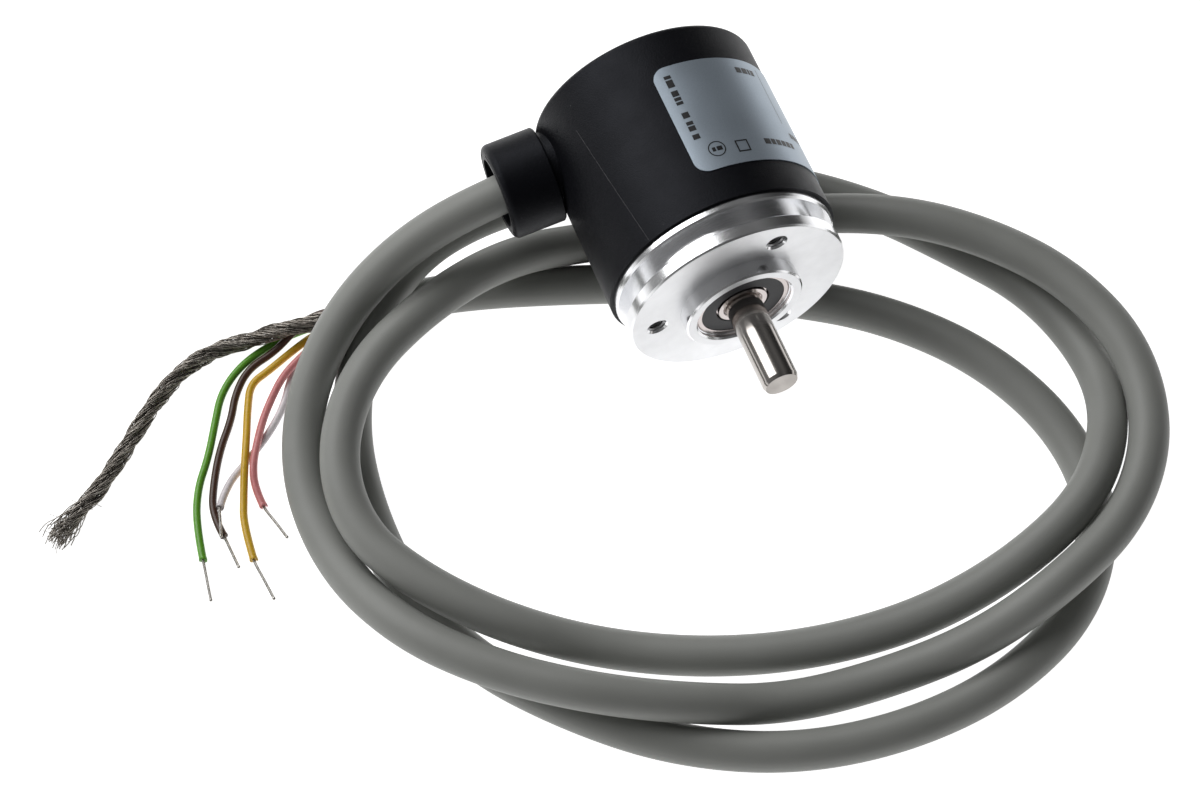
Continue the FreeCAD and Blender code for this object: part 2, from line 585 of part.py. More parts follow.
def detector():
    start_y = DISC_Y + DISC_THICK + RETICLE_GAP + RETICLE_THICK + 0.05
    return box((-3.6, start_y, 10.0), (3.6, BOARD_Y, 15.0))


# --- circuit board and its parts ---------------------------------------------------------------------
def circuit_board():
    """A round board, open on the outlet's side and at its centre, with a hole over each standoff."""
    top = BOARD_Y + BOARD_THICK
    half = BOARD_CUTOUT_HALF_WIDTH
    body = ring(BOARD_CENTRE_HOLE_R, BOARD_R, BOARD_Y, top)
    body = body.cut(box((-BOARD_R - 1, BOARD_Y - 1, -half), (BOARD_CUTOUT_X, top + 1, half)))
    for degrees in STANDOFF_ANGLES:
        start = around(BOARD_SCREW_PCD_R, degrees, BOARD_Y - 1)
        body = body.cut(Part.makeCylinder(BOARD_SCREW_R + 0.17, 4, start, SHAFT_AXIS))
    return body


def board_standoffs():
    pieces = []
    for degrees in STANDOFF_ANGLES:
        foot = around(STANDOFF_PCD_R, degrees, SPIGOT_END_Y)
        length = BOARD_Y - SPIGOT_END_Y
        pillar = Part.makeCylinder(STANDOFF_R, length, foot, SHAFT_AXIS)
        stud = Part.makeCylinder(STANDOFF_STUD_R, 1.4, foot, SHAFT_AXIS * -1)
        thread_start = around(BOARD_SCREW_PCD_R, degrees, BOARD_Y - 3)
        thread = Part.makeCylinder(BOARD_SCREW_R + 0.02, 3, thread_start, SHAFT_AXIS)
        pieces.append(pillar.fuse(stud).cut(thread))
    return Part.makeCompound(pieces)


def board_screws():
    top = BOARD_Y + BOARD_THICK
    pieces = []
    for degrees in STANDOFF_ANGLES:
        seat = around(BOARD_SCREW_PCD_R, degrees, top)
        pieces.append(screw(1.1, 0.8, BOARD_SCREW_R, 4.2, (seat.x, seat.y, seat.z), 0.35))
    return Part.makeCompound(pieces)


def board_chips():
    """The line driver, the comparator and a few small parts on the board's rear side."""
    top = BOARD_Y + BOARD_THICK
    pieces = [
        box((5.2, top, -4.6), (10.2, top + 1.5, 4.6)),
        box((-3.2, top, -13.6), (3.0, top + 1.3, -8.6)),
    ]
    for corner_x, corner_z in SMALL_PART_CORNERS:
        pieces.append(Part.makeBox(*SMALL_PART_SIZE, Vector(corner_x, top, corner_z)))
    return Part.makeCompound(pieces)


def lead_connector():
    """A five-way header that the cable's leads plug into."""
    top = BOARD_Y + BOARD_THICK
    body = box((HEADER_START_X, top, HEADER_FRONT_Z), (HEADER_END_X, top + HEADER_HEIGHT, HEADER_REAR_Z))
    for index in range(LEAD_COUNT):
        slot_x = HEADER_START_X + 1 + LEAD_PITCH * index
        slot_low = (slot_x, top + 1, HEADER_FRONT_Z - 1)
        slot_high = (slot_x + HEADER_SLOT_WIDTH, top + 2.4, HEADER_REAR_Z - 1.8)
        body = body.cut(box(slot_low, slot_high))
    return body


def inner_leads():
    """Five short leads from the cable's inner end to the header."""
    pieces = []
    first_end_x = HEADER_START_X + 1 + HEADER_SLOT_WIDTH / 2
    for index in range(LEAD_COUNT):
        end_x = first_end_x + LEAD_PITCH * index
        start = Vector(-12.3, OUTLET_Y + 1.0 + 0.2 * index, 2.4 - 1.2 * index)
        middle = Vector(end_x - 0.6, OUTLET_Y + 2.6 + 0.15 * index, 1.2 - 0.5 * index)
        end = Vector(end_x, BOARD_Y + BOARD_THICK + 1.7, HEADER_FRONT_Z - 0.2)
        rising = Part.makeCylinder(LEAD_R, (middle - start).Length, start, middle - start)
        falling = Part.makeCylinder(LEAD_R, (end - middle).Length, middle, end - middle)
        pieces.append(rising.fuse(falling).fuse(Part.makeSphere(LEAD_R, middle)))
    return Part.makeCompound(pieces)


# --- cable outlet ------------------------------------------------------------------------------------
def outlet_sleeve():
    """The black sleeve of the outlet: rounded mouth, slits round its bore, and a plug into the boss."""
    rear_x = BOSS_FACE_X - 0.02
    body = rod(SLEEVE_R, (rear_x, OUTLET_Y, 0), (-1, 0, 0), rear_x - SLEEVE_MOUTH_X)
    rims = [edge for edge in body.Edges if edge.BoundBox.XLength < 0.01]
    mouth_rims = [edge for edge in rims if edge.BoundBox.XMin < rear_x - 1]
    body = body.makeFillet(SLEEVE_MOUTH_FILLET, mouth_rims)
    rims = [edge for edge in body.Edges if edge.BoundBox.XLength < 0.01]
    rear_rims = [edge for edge in rims if edge.BoundBox.XMin > rear_x - 0.1]
    body = body.makeChamfer(SLEEVE_REAR_CHAMFER, rear_rims)
    plug_length = SLEEVE_PLUG_X - rear_x + 0.5
    body = body.fuse(rod(SLEEVE_PLUG_R, (SLEEVE_PLUG_X, OUTLET_Y, 0), (-1, 0, 0), plug_length))
    length = SLEEVE_PLUG_X - SLEEVE_MOUTH_X
    body = body.cut(rod(SLEEVE_NECK_R, (SLEEVE_PLUG_X + 1, OUTLET_Y, 0), (-1, 0, 0), length + 2))
    bore_end_x = SLEEVE_MOUTH_X + SLEEVE_BORE_DEPTH
    body = body.cut(rod(SLEEVE_BORE_R, (bore_end_x, OUTLET_Y, 0), (-1, 0, 0), SLEEVE_BORE_DEPTH + 1))
    for start_deg in SLIT_STARTS_DEG:
        body = body.cut(sleeve_slit(start_deg))
    return body.removeSplitter()


def sleeve_slit(start_deg):
    """One arc of the slit in the mouth, turned about the outlet's axis from +Y towards +Z."""
    centre = Vector(0, OUTLET_Y, 0)
    outline = [
        (SLEEVE_MOUTH_X - 1, SLIT_INNER_R), (SLEEVE_MOUTH_X + SLIT_DEPTH, SLIT_INNER_R),
        (SLEEVE_MOUTH_X + SLIT_DEPTH, SLIT_OUTER_R), (SLEEVE_MOUTH_X - 1, SLIT_OUTER_R),
    ]
    points = [Vector(x, OUTLET_Y + radius, 0) for x, radius in outline]
    face = Part.Face(Part.makePolygon(points + points[:1]))
    face.rotate(centre, OUTLET_AXIS, start_deg)
    return face.revolve(centre, OUTLET_AXIS, SLIT_SWEEP_DEG)


def outlet_sealant():
    """The sealant round the cable in the sleeve's bore; it stands higher on the shaft's side."""
    start_x = SLEEVE_MOUTH_X + SLEEVE_BORE_DEPTH
    length = SLEEVE_BORE_DEPTH - SEALANT_MOUTH_GAP
    body = rod(SLEEVE_BORE_R - 0.02, (start_x, OUTLET_Y, 0), (-1, 0, 0), length)
    reach = SLEEVE_BORE_R + 0.7
    outside_x = SLEEVE_MOUTH_X - 0.7
    outline = [(outside_x, reach), (SEALANT_LOW_X, reach), (SEALANT_HIGH_X, -reach), (outside_x, -reach)]
    points = [Vector(x, OUTLET_Y + across, -reach) for x, across in outline]
    empty_side = Part.Face(Part.makePolygon(points + points[:1])).extrude(Vector(0, 0, 2 * reach))
    cable_room = tube("cable_room", CABLE_ROUTE[:4], CABLE_R + 0.02)
    return body.cut(empty_side).cut(cable_room)


def shield_ferrule():
    """The crimped ring on the cable just inside the housing; it stops the cable pulling out."""
    body = rod(FERRULE_R, (FERRULE_X, OUTLET_Y, 0), (-1, 0, 0), FERRULE_LENGTH)
    return body.cut(rod(CABLE_R + 0.01, (FERRULE_X + 1, OUTLET_Y, 0), (-1, 0, 0), FERRULE_LENGTH + 2))


def rating_label():
    """A thin label wrapped on the upper side, following the housing's draft."""
    slope = (HOUSING_REAR_R - HOUSING_FRONT_R) / (HOUSING_END_Y - HOUSING_FRONT_Y)
    front_r = HOUSING_FRONT_R + slope * (LABEL_FRONT_Y - HOUSING_FRONT_Y)
    rear_r = HOUSING_FRONT_R + slope * (LABEL_REAR_Y - HOUSING_FRONT_Y)
    outline = [
        (front_r, LABEL_FRONT_Y), (front_r + LABEL_THICK, LABEL_FRONT_Y),
        (rear_r + LABEL_THICK, LABEL_REAR_Y), (rear_r, LABEL_REAR_Y),
    ]
    points = [Vector(0, y, radius) for radius, y in outline]
    face = Part.Face(Part.makePolygon(points + points[:1]))
    # The face starts at +Z, and turning it about +Y takes it towards +X.
    face.rotate(ORIGIN, SHAFT_AXIS, LABEL_START_DEG)
    sheet = face.revolve(ORIGIN, SHAFT_AXIS, LABEL_SWEEP_DEG)
    return round_label_corners(sheet)


def round_label_corners(sheet):
    """Cut the four corners of the wrapped sheet to a radius."""
    radius = LABEL_CORNER_R
    corner_deg = math.degrees(radius / HOUSING_FRONT_R)
    for degrees, inward in ((LABEL_START_DEG, 1), (LABEL_START_DEG + LABEL_SWEEP_DEG, -1)):
        centre_deg = degrees + inward * corner_deg
        angle = math.radians(centre_deg)
        out = Vector(math.sin(angle), 0, math.cos(angle))
        along = Vector(math.cos(angle), 0, -math.sin(angle)) * -inward
        for y, outward in ((LABEL_FRONT_Y, -1), (LABEL_REAR_Y, 1)):
            centre = out * (HOUSING_REAR_R - 2) + Vector(0, y - outward * radius, 0)
            across = along * radius * 1.3
            back = Vector(0, outward * radius * 1.3, 0)
            points = [centre, centre + across, centre + across + back, centre + back]
            square = Part.Face(Part.makePolygon(points + points[:1])).extrude(out * 5)
            keep = Part.makeCylinder(radius, 5, centre, out)
            sheet = sheet.cut(square.cut(keep))
    return sheet


# --- the cable and what its stripped end shows -------------------------------------------------------
def conductor(colour):
    start = Vector(*CORE_ROUTES[colour][-1])
    run = Vector(*CONDUCTOR_TIPS[colour]) - start
    return Part.makeCylinder(CONDUCTOR_R, run.Length, start, run)


def main():
    export("housing", housing())
    export("flange", flange())
    export("shaft", shaft())
    for place, start_y in (("front", FRONT_BEARING_Y), ("rear", REAR_BEARING_Y)):
        export(place + "_bearing_outer_ring", bearing_outer_ring(start_y))
        export(place + "_bearing_inner_ring", bearing_inner_ring(start_y))
        export(place + "_bearing_balls", bearing_balls(start_y))
        export(place + "_bearing_cage", bearing_cage(start_y))
    export("front_bearing_seal", bearing_seal(FRONT_BEARING_Y, 1))
    export("rear_bearing_seal", bearing_seal(REAR_BEARING_Y + BEARING_WIDTH, -1))
    spacers_and_springs()
    export("housing_o_ring", housing_o_ring())
    export("code_hub", code_hub())
    export("hub_set_screw", hub_set_screw())
    export("code_disc", code_disc())
    export("disc_clamp_ring", disc_clamp_ring())
    export("lamp_holder", lamp_holder())
    export("lamp", lamp())
    export("lamp_screws", lamp_screws())
    export("scanning_reticle", scanning_reticle())
    export("detector", detector())
    export("circuit_board", circuit_board())
    export("board_standoffs", board_standoffs())
    export("board_screws", board_screws())
    export("board_chips", board_chips())
    export("lead_connector", lead_connector())
    export("inner_leads", inner_leads())
    export("outlet_sleeve", outlet_sleeve())
    export("outlet_sealant", outlet_sealant())
    export("shield_ferrule", shield_ferrule())
    export("rating_label", rating_label())
    export("cable", tube("cable", CABLE_ROUTE, CABLE_R))
    export("shield_braid", tube("shield_braid", BRAID_ROUTE, BRAID_R))
    for colour, route in CORE_ROUTES.items():
        export("core_" + colour, tube("core_" + colour, route, CORE_R))
        export("conductor_" + colour, conductor(colour))


main()
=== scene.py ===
import json
import math
import random

import bmesh
import bpy
from mathutils import Matrix, Vector, noise


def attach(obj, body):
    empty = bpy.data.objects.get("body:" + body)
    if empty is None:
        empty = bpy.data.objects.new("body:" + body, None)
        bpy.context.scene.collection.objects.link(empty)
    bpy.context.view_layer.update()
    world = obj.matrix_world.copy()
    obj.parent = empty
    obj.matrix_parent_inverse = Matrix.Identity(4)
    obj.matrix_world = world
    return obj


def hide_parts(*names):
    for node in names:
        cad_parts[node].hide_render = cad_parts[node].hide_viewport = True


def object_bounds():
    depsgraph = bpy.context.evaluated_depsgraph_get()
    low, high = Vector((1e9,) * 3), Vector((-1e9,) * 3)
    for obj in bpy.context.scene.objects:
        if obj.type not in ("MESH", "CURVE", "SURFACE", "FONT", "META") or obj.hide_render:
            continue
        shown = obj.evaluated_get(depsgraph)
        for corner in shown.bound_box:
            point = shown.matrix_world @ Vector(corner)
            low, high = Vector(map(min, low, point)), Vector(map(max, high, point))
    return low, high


# Looks of a rotary encoder with a synchro flange and a free, stripped cable. Metres, in the CAD frame:
# the shaft points along -Y, the cable outlet along -X, and +Z is up.

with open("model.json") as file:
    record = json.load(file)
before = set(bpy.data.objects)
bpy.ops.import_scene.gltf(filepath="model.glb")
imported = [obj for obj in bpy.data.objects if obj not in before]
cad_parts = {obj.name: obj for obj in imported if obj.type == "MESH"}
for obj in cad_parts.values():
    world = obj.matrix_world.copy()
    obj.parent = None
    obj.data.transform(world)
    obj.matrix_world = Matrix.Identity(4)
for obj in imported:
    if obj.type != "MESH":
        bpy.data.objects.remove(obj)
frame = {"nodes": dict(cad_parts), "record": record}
nodes = frame["nodes"]
cad_low, cad_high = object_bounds()

MM = 0.001
UP = Vector((0, 0, 1))
SHAFT_AXIS = Vector((0, 1, 0))

# --- the cable's and cores' routes: control points of smooth splines ---------------------------------
TABLE_Z = cad_low.z
TABLE_AXIS = -0.0237
CABLE_R = 0.0033
CORE_R = 0.00065
CONDUCTOR_R = 0.00026
CORE_LOW = TABLE_Z + 0.00067
CORE_HIGH = TABLE_Z + 0.0021
BRAID_LOW = TABLE_Z + 0.0016
WHITE_END = TABLE_Z + 0.0013

CABLE_ROUTE = [
    (-0.0125, 0.0332, 0), (-0.027, 0.0332, 0), (-0.043, 0.034, -0.0052), (-0.057, 0.0308, -0.0124),
    (-0.0684, 0.0224, -0.0196), (-0.0748, 0.0085, -0.0228), (-0.0746, -0.0088, -0.0214),
    (-0.069, -0.025, -0.0168), (-0.0588, -0.0375, -0.0156), (-0.0467, -0.0472, -0.0154),
    (-0.0332, -0.0539, -0.0183), (-0.018, -0.0584, TABLE_AXIS), (-0.001, -0.0608, TABLE_AXIS),
    (0.0145, -0.0625, -0.0194), (0.0295, -0.0601, -0.0156), (0.0442, -0.0533, -0.0168),
    (0.0541, -0.0415, -0.0166), (0.0574, -0.0258, -0.017), (0.0534, -0.011, -0.0168),
    (0.045, 0.0008, -0.0164), (0.0337, 0.0104, -0.0156), (0.0196, 0.0194, -0.0192),
    (0.0035, 0.026, TABLE_AXIS), (-0.0128, 0.0298, -0.0217), (-0.029, 0.0302, -0.0154),
    (-0.045, 0.0262, -0.0134), (-0.0593, 0.0192, -0.0134), (-0.0683, 0.0075, -0.0149),
    (-0.0698, -0.0064, -0.0158), (-0.0637, -0.0187, -0.016), (-0.0538, -0.0297, -0.0182),
    (-0.0408, -0.0378, TABLE_AXIS), (-0.0257, -0.0462, TABLE_AXIS), (-0.0095, -0.0516, TABLE_AXIS),
    (0.008, -0.0542, -0.0224), (0.0246, -0.054, -0.0168), (0.0399, -0.0482, -0.0154),
    (0.0496, -0.0356, -0.0186), (0.0522, -0.021, TABLE_AXIS), (0.0486, -0.0066, TABLE_AXIS),
    (0.04, 0.006, TABLE_AXIS), (0.031, 0.018, TABLE_AXIS), (0.018, 0.0295, TABLE_AXIS),
    (0.0025, 0.0365, TABLE_AXIS), (-0.013, 0.0415, TABLE_AXIS), (-0.029, 0.0415, -0.0194),
    (-0.044, 0.0364, -0.015), (-0.0558, 0.0282, -0.0192), (-0.0635, 0.0165, TABLE_AXIS),
    (-0.0665, 0.001, TABLE_AXIS), (-0.066, -0.016, TABLE_AXIS), (-0.06, -0.032, TABLE_AXIS),
    (-0.0493, -0.0458, TABLE_AXIS), (-0.0368, -0.0576, TABLE_AXIS), (-0.0208, -0.0665, TABLE_AXIS),
    (-0.003, -0.0704, TABLE_AXIS), (0.0152, -0.0695, TABLE_AXIS), (0.032, -0.0625, TABLE_AXIS),
    (0.0418, -0.0485, TABLE_AXIS), (0.0428, -0.032, TABLE_AXIS), (0.0363, -0.015, TABLE_AXIS),
    (0.0243, -0.0006, TABLE_AXIS), (0.0094, 0.0098, TABLE_AXIS), (-0.005, 0.0186, TABLE_AXIS),
    (-0.0215, 0.0256, TABLE_AXIS), (-0.0367, 0.0313, TABLE_AXIS), (-0.0494, 0.0343, TABLE_AXIS),
    (-0.0578, 0.035, TABLE_AXIS),
]
CORE_ROUTES = {
    "green": [
        (-0.05773, 0.0359, -0.0255), (-0.062, 0.0369, CORE_LOW), (-0.0686, 0.0369, CORE_LOW),
        (-0.0756, 0.0352, CORE_LOW), (-0.0806, 0.0316, CORE_LOW), (-0.0836, 0.0265, CORE_LOW),
        (-0.0867, 0.0212, CORE_LOW), (-0.0903, 0.0165, CORE_LOW), (-0.0927, 0.0105, CORE_LOW),
        (-0.0938, 0.0042, CORE_LOW),
    ],
    "brown": [
        (-0.05766, 0.0369, -0.0239), (-0.0612, 0.0379, -0.0243), (-0.0652, 0.0367, -0.0246),
        (-0.0698, 0.0349, -0.026), (-0.075, 0.0339, CORE_LOW), (-0.0786, 0.0303, CORE_LOW),
        (-0.0808, 0.0262, CORE_LOW), (-0.0844, 0.0218, CORE_LOW), (-0.0875, 0.0164, CORE_LOW),
        (-0.0897, 0.0112, CORE_LOW), (-0.0892, 0.0068, CORE_LOW),
    ],
    "white": [
        (-0.0579, 0.03385, -0.0255), (-0.0618, 0.0337, CORE_LOW), (-0.0659, 0.0322, CORE_LOW),
        (-0.069, 0.0296, CORE_LOW), (-0.0719, 0.025, CORE_LOW), (-0.076, 0.0212, CORE_LOW),
        (-0.081, 0.018, CORE_LOW), (-0.0857, 0.0152, CORE_LOW), (-0.088, 0.0117, WHITE_END),
    ],
    "yellow": [
        (-0.0578, 0.0348, -0.0244), (-0.0623, 0.0351, -0.0256), (-0.0672, 0.0339, -0.0262),
        (-0.0719, 0.0322, CORE_LOW), (-0.0756, 0.0311, CORE_LOW), (-0.0776, 0.0269, -0.026),
        (-0.0796, 0.0216, CORE_HIGH), (-0.0818, 0.0166, CORE_HIGH), (-0.0838, 0.012, -0.026),
        (-0.0856, 0.0074, CORE_LOW), (-0.0862, 0.0009, CORE_LOW),
    ],
    "pink": [
        (-0.058, 0.0329, -0.0239), (-0.0616, 0.0332, -0.0244), (-0.0657, 0.0319, CORE_HIGH),
        (-0.0702, 0.0296, CORE_HIGH), (-0.0736, 0.0266, WHITE_END), (-0.0762, 0.0234, -0.0254),
        (-0.0784, 0.0198, CORE_HIGH), (-0.0804, 0.0164, CORE_HIGH), (-0.0816, 0.0128, -0.026),
        (-0.0814, 0.0093, CORE_LOW),
    ],
}
CONDUCTOR_TIPS = {
    "green": (-0.0951, -0.0031, CORE_LOW),
    "brown": (-0.0889, 0.0006, CORE_LOW),
    "white": (-0.0897, 0.0064, WHITE_END + 0.0006),
    "yellow": (-0.0856, -0.007, CORE_LOW),
    "pink": (-0.0798, 0.0024, CORE_LOW),
}
BRAID_ROUTE = [
    (-0.05784, 0.0348, -0.02215), (-0.0624, 0.0352, -0.02215), (-0.0674, 0.0366, -0.0227),
    (-0.0726, 0.038, -0.0249), (-0.0785, 0.039, BRAID_LOW), (-0.0845, 0.0379, BRAID_LOW),
    (-0.0895, 0.0352, BRAID_LOW), (-0.0945, 0.0314, BRAID_LOW), (-0.0995, 0.0271, BRAID_LOW),
    (-0.105, 0.0227, BRAID_LOW), (-0.11, 0.0201, BRAID_LOW), (-0.1145, 0.017, BRAID_LOW),
]

# --- sizes of what is added to the CAD model -----------------------------------------------------------
STRAND_R = 0.085 * MM
STRAND_LAY = 1.6 * MM

BUNDLES = 4
BUNDLE_ORBIT = 0.84 * MM
BUNDLE_R = 0.62 * MM
BUNDLE_TURNS = 2.3
WIRES_IN_BUNDLE = 20
WIRE_TURNS = 3.2
BRAID_WIRE_R = 0.085 * MM
FRAY_START = 0.88
FRAY_REACH = 1.3 * MM
WISPS = 16
WISP_R = 0.045 * MM
TABLE_R = 4

HOLE_PCD_R = 14 * MM
HOLE_ANGLES = (180, 60, -60)
THREAD_PITCH = 0.5 * MM
THREAD_WALL_R = 1.5 * MM
THREAD_CREST_R = 1.24 * MM
THREAD_LENGTH = 5.0 * MM
THREAD_START_Y = 0.35 * MM

HOUSING_FRONT_Y = 6.7 * MM
HOUSING_END_Y = 40.2 * MM
HOUSING_FRONT_R = 19.4 * MM
HOUSING_REAR_R = 19.1 * MM
LABEL_THICK = 0.15 * MM
INK_THICK = 0.015 * MM
# The mould line's two ends: turned from +Z towards +X, and the depth where it fades out.
SEAM_FRONT_DEG = -37
SEAM_REAR_DEG = -47.8
SEAM_END_Y = 31.5 * MM


# --- materials ---------------------------------------------------------------------------------------
def new_material(name, colour, roughness, metallic=0.0, **sockets):
    """A material with one Principled shader; extra values go to the shader's sockets by name."""
    made = bpy.data.materials.new(name)
    made.use_nodes = True
    shader = made.node_tree.nodes["Principled BSDF"]
    shader.inputs["Base Color"].default_value = (*colour, 1)
    shader.inputs["Roughness"].default_value = roughness
    shader.inputs["Metallic"].default_value = metallic
    for socket, value in sockets.items():
        shader.inputs[socket.replace("_", " ")].default_value = value
    return made


def add_node(tree, kind, inputs=None, **settings):
    """A new node; inputs are its sockets' values, and settings are its own properties."""
    node = tree.nodes.new(kind)
    for setting, value in settings.items():
        setattr(node, setting, value)
    for socket, value in (inputs or {}).items():
        node.inputs[socket].default_value = value
    return node


def coordinates(tree):
    """Object coordinates, in metres."""
    return add_node(tree, "ShaderNodeTexCoord").outputs["Object"]


def noise_of(tree, vector, scale, detail=3.0, rough=0.5):
    """Noise with this many waves to the metre."""
    made = add_node(tree, "ShaderNodeTexNoise", {"Scale": scale, "Detail": detail, "Roughness": rough})
    tree.links.new(vector, made.inputs["Vector"])
    return made.outputs["Fac"]


def ramp(tree, factor, stops):
    """A colour ramp; stops are (place, colour or grey)."""
    made = add_node(tree, "ShaderNodeValToRGB")
    elements = made.color_ramp.elements
    while len(elements) < len(stops):
        elements.new(0.5)
    for element, (place, value) in zip(elements, stops):
        element.position = place
        element.color = (*value, 1) if isinstance(value, tuple) else (value, value, value, 1)
    tree.links.new(factor, made.inputs["Fac"])
    return made.outputs["Color"]


def add_bump(made, heights):
    """Chain bumps onto the shader's normal; heights are (output, strength, distance in metres)."""
    tree = made.node_tree
    shader = tree.nodes["Principled BSDF"]
    normal = None
    for height, strength, distance in heights:
        bump = add_node(tree, "ShaderNodeBump", {"Strength": strength, "Distance": distance})
        tree.links.new(height, bump.inputs["Height"])
        if normal is not None:
            tree.links.new(normal, bump.inputs["Normal"])
        normal = bump.outputs["Normal"]
    tree.links.new(normal, shader.inputs["Normal"])


def drive(made, socket, output):
    """Link an output to one socket of the material's shader."""
    tree = made.node_tree
    tree.links.new(output, tree.nodes["Principled BSDF"].inputs[socket])


def moulded_black(name, colour, roughness, grain_mm=0.26):
    """Glass-filled black plastic with a fine eroded grain, faint cloudiness and a few dust specks."""
    sheen = (0.84, 0.88, 1.0, 1.0)
    made = new_material(name, colour, roughness, Specular_IOR_Level=0.15, Specular_Tint=sheen)
    tree = made.node_tree
    place = coordinates(tree)
    grain = noise_of(tree, place, 1 / (grain_mm * MM), 4, 0.65)
    cloud = noise_of(tree, place, 160, 4, 0.6)
    speck = noise_of(tree, place, 1500, 2, 0.5)
    lighter = tuple(value * 1.25 for value in colour)
    dust = tuple(value + 0.07 for value in colour)
    tint = ramp(tree, speck, [(0.0, colour), (0.77, lighter), (0.80, dust)])
    drive(made, "Base Color", tint)
    drive(made, "Roughness", ramp(tree, cloud, [(0.3, roughness - 0.05), (0.7, roughness + 0.07)]))
    add_bump(made, [(grain, 0.8, 0.08 * MM), (cloud, 0.06, 0.2 * MM)])
    return made


def axis_distance(tree):
    """Distance from the shaft axis, and depth along it."""
    split = add_node(tree, "ShaderNodeSeparateXYZ")
    tree.links.new(coordinates(tree), split.inputs["Vector"])
    flat = add_node(tree, "ShaderNodeCombineXYZ")
    tree.links.new(split.outputs["X"], flat.inputs["X"])
    tree.links.new(split.outputs["Z"], flat.inputs["Z"])
    length = add_node(tree, "ShaderNodeVectorMath", operation="LENGTH")
    tree.links.new(flat.outputs["Vector"], length.inputs[0])
    return length.outputs["Value"], split.outputs["Y"]


def turning_marks(tree, pitch_mm):
    """Fine uneven rings about the shaft axis, on faces and on edges alike."""
    radius, depth = axis_distance(tree)
    both = add_node(tree, "ShaderNodeCombineXYZ")
    tree.links.new(radius, both.inputs["X"])
    tree.links.new(depth, both.inputs["Y"])
    return noise_of(tree, both.outputs["Vector"], 1 / (pitch_mm * MM), 3, 0.7)


def turned_metal(name, colour, roughness, pitch_mm, depth_mm, anisotropic, satin_faces=()):
    """Lathe-turned or ground metal: rings round the shaft axis, and a highlight stretched across them."""
    made = new_material(name, colour, roughness, 1.0, Anisotropic=anisotropic)
    tree = made.node_tree
    marks = turning_marks(tree, pitch_mm)
    stain = noise_of(tree, coordinates(tree), 260, 4, 0.6)
    darker = tuple(value * 0.93 for value in colour)
    drive(made, "Base Color", ramp(tree, stain, [(0.3, darker), (0.65, colour)]))
    dullness = ramp(tree, marks, [(0.3, roughness - 0.04), (0.7, roughness + 0.05)])
    for face_y_mm in satin_faces:
        dullness = satin_face(tree, dullness, face_y_mm)
    drive(made, "Roughness", dullness)
    tangent = add_node(tree, "ShaderNodeTangent", direction_type="RADIAL", axis="Y")
    drive(made, "Tangent", tangent.outputs["Tangent"])
    add_bump(made, [(marks, 0.4, depth_mm * MM)])
    return made


def satin_face(tree, dullness, face_y_mm):
    """Raise the roughness on the flat face at this depth."""
    satin = 0.46
    on_face = add_node(tree, "ShaderNodeMath", {1: face_y_mm * MM, 2: 0.03 * MM}, operation="COMPARE")
    tree.links.new(axis_distance(tree)[1], on_face.inputs[0])
    mixed = add_node(tree, "ShaderNodeMix", {"B": satin})
    tree.links.new(on_face.outputs["Value"], mixed.inputs["Factor"])
    tree.links.new(dullness, mixed.inputs["A"])
    return mixed.outputs["Result"]


def seal_rubber():
    """Dark grey rubber with faint moulded rings."""
    made = new_material("seal_rubber", (0.035, 0.035, 0.038), 0.55, Specular_IOR_Level=0.4)
    tree = made.node_tree
    rings = turning_marks(tree, 0.25)
    grain = noise_of(tree, coordinates(tree), 9000, 3)
    greys = [(0.3, (0.028, 0.028, 0.031)), (0.7, (0.045, 0.045, 0.049))]
    drive(made, "Base Color", ramp(tree, grain, greys))
    add_bump(made, [(rings, 0.25, 0.03 * MM), (grain, 0.3, 0.02 * MM)])
    return made


def label_film():
    """Silvery polyester film: satin, slightly blue, with a fine metallic fleck."""
    made = new_material("label_film", (0.38, 0.44, 0.51), 0.40, 0.7)
    tree = made.node_tree
    fleck = noise_of(tree, coordinates(tree), 7000, 3, 0.6)
    cloud = noise_of(tree, coordinates(tree), 180, 3)
    drive(made, "Base Color", ramp(tree, fleck, [(0.3, (0.34, 0.40, 0.465)), (0.7, (0.42, 0.485, 0.555))]))
    drive(made, "Roughness", ramp(tree, cloud, [(0.3, 0.39), (0.7, 0.45)]))
    add_bump(made, [(fleck, 0.12, 0.02 * MM)])
    return made


def cable_jacket():
    """Grey PVC: satin, with a faint powdery texture and soft clouds."""
    made = new_material("cable_jacket", (0.25, 0.255, 0.24), 0.5, Specular_IOR_Level=0.4)
    tree = made.node_tree
    fine = noise_of(tree, coordinates(tree), 4200, 4, 0.6)
    cloud = noise_of(tree, coordinates(tree), 90, 4, 0.55)
    drive(made, "Base Color", ramp(tree, cloud, [(0.3, (0.24, 0.245, 0.23)), (0.7, (0.262, 0.267, 0.252))]))
    drive(made, "Roughness", ramp(tree, fine, [(0.3, 0.46), (0.7, 0.56)]))
    add_bump(made, [(fine, 0.22, 0.04 * MM), (cloud, 0.08, 0.3 * MM)])
    return made


def core_plastic(name, colour):
    """Thin coloured core insulation, smooth, with a slight mottling."""
    made = new_material(name, colour, 0.33)
    tree = made.node_tree
    mottle = noise_of(tree, coordinates(tree), 1400, 3)
    darker = tuple(value * 0.82 for value in colour)
    drive(made, "Base Color", ramp(tree, mottle, [(0.3, darker), (0.7, colour)]))
    add_bump(made, [(mottle, 0.2, 0.05 * MM)])
    return made


